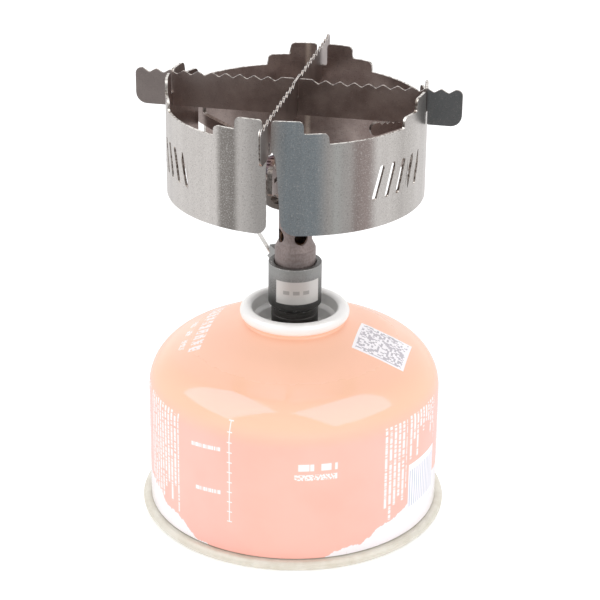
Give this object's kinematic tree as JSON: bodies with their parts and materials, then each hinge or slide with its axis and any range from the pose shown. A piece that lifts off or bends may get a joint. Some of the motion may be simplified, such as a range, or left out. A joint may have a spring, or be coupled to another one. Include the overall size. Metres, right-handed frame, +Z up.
{
  "type": "canister stove",
  "caption": "Gas canister with a screw-on burner, folding arms, wire valve handle, slotted round windscreen and interlocking serrated cross plates as pot stand.",
  "frame": {"origin": "centre of the canister's base, on the surface it stands on", "axes": "+Z up along the canister's axis; one cross plate along X, the other along Y; the windscreen's seam faces -Y"},
  "size_m": [0.1128, 0.1128, 0.1598],
  "materials": {
    "can_paint": "satin",
    "tin": "satin",
    "tin_bright": "satin",
    "brass": "satin",
    "rubber": "matte",
    "steel": "satin",
    "steel_burnt": "heat tinted",
    "sintered": "matte",
    "black": "black anodised",
    "anodised": "grey anodised",
    "titanium": "satin titanium",
    "titanium_dark": "heat tinted titanium"
  },
  "bodies": {
    "canister": {"canister_shell": "can_paint", "canister_base": "tin", "mounting_cup": "tin_bright", "valve_housing": "brass", "valve_gasket": "rubber", "valve_spring": "steel"},
    "valve_stem": {"valve_stem": "brass"},
    "burner": {"thread_connector": "black", "connector_o_ring": "rubber", "gas_filter": "sintered", "depressor_pin": "brass", "valve_body": "anodised", "jet_nozzle": "brass", "gland_nut": "steel", "mixing_tube": "titanium_dark", "burner_bowl": "titanium_dark", "burner_cap": "steel_burnt", "arm_bracket": "titanium", "arm_rivet_1": "steel", "arm_rivet_2": "steel", "arm_rivet_3": "steel"},
    "spindle_seal": {"spindle_o_ring": "rubber"},
    "spindle": {"needle_spindle": "steel"},
    "handle": {"wire_handle": "steel"},
    "arm_1": {"support_arm_1": "titanium_dark"},
    "arm_2": {"support_arm_2": "titanium_dark"},
    "arm_3": {"support_arm_3": "titanium_dark"},
    "windscreen": {"windscreen_ring": "titanium"},
    "plate_x": {"cross_plate_x": "titanium_dark"},
    "plate_y": {"cross_plate_y": "titanium_dark"}
  },
  "joints": [
    {"name": "stem_rise", "type": "slide", "parent": "canister", "child": "valve_stem", "axis": [0, 0, 1], "range_m": [0, 0.0023], "deforming": ["valve_spring"]},
    {"name": "stove_unscrew", "type": "hinge", "parent": "valve_stem", "child": "burner", "pos_m": [0, 0, 0], "axis": [0, 0, 1], "range_deg": [0, 900]},
    {"name": "spindle_travel", "type": "slide", "parent": "burner", "child": "spindle_seal", "axis": [-0.5592, 0.829, 0], "range_m": [0, 0.001]},
    {"name": "spindle_turn", "type": "hinge", "parent": "spindle_seal", "child": "spindle", "pos_m": [0, 0, 0.086], "axis": [-0.5592, 0.829, 0], "range_deg": [0, 720]},
    {"name": "handle_flip", "type": "hinge", "parent": "spindle", "child": "handle", "pos_m": [-0.01035, 0.01534, 0.086], "axis": [0.4145, 0.2796, -0.866], "range_deg": [-27, 83]},
    {"name": "arm_1_fold", "type": "hinge", "parent": "burner", "child": "arm_1", "pos_m": [0.00021, -0.0098, 0.119], "axis": [0.9998, 0.0209, 0], "range_deg": [0, 100]},
    {"name": "arm_2_fold", "type": "hinge", "parent": "burner", "child": "arm_2", "pos_m": [0.00838, 0.00508, 0.119], "axis": [-0.518, 0.8554, 0], "range_deg": [0, 100]},
    {"name": "arm_3_fold", "type": "hinge", "parent": "burner", "child": "arm_3", "pos_m": [-0.00859, 0.00472, 0.119], "axis": [-0.4818, -0.8763, 0], "range_deg": [0, 100]},
    {"name": "windscreen_lift", "type": "slide", "parent": "burner", "child": "windscreen", "axis": [0, 0, 1], "range_m": [0, 0.05]},
    {"name": "plate_x_lift", "type": "slide", "parent": "windscreen", "child": "plate_x", "axis": [0, 0, 1], "range_m": [0, 0.03]},
    {"name": "plate_y_lift", "type": "slide", "parent": "plate_x", "child": "plate_y", "axis": [0, 0, 1], "range_m": [0, 0.03]}
  ],
  "couplings": [
    {"joint": "stem_rise", "follows": "stove_unscrew", "m_per_rad": 0.00014438},
    {"joint": "spindle_travel", "follows": "spindle_turn", "m_per_rad": 0.000079577}
  ]
}
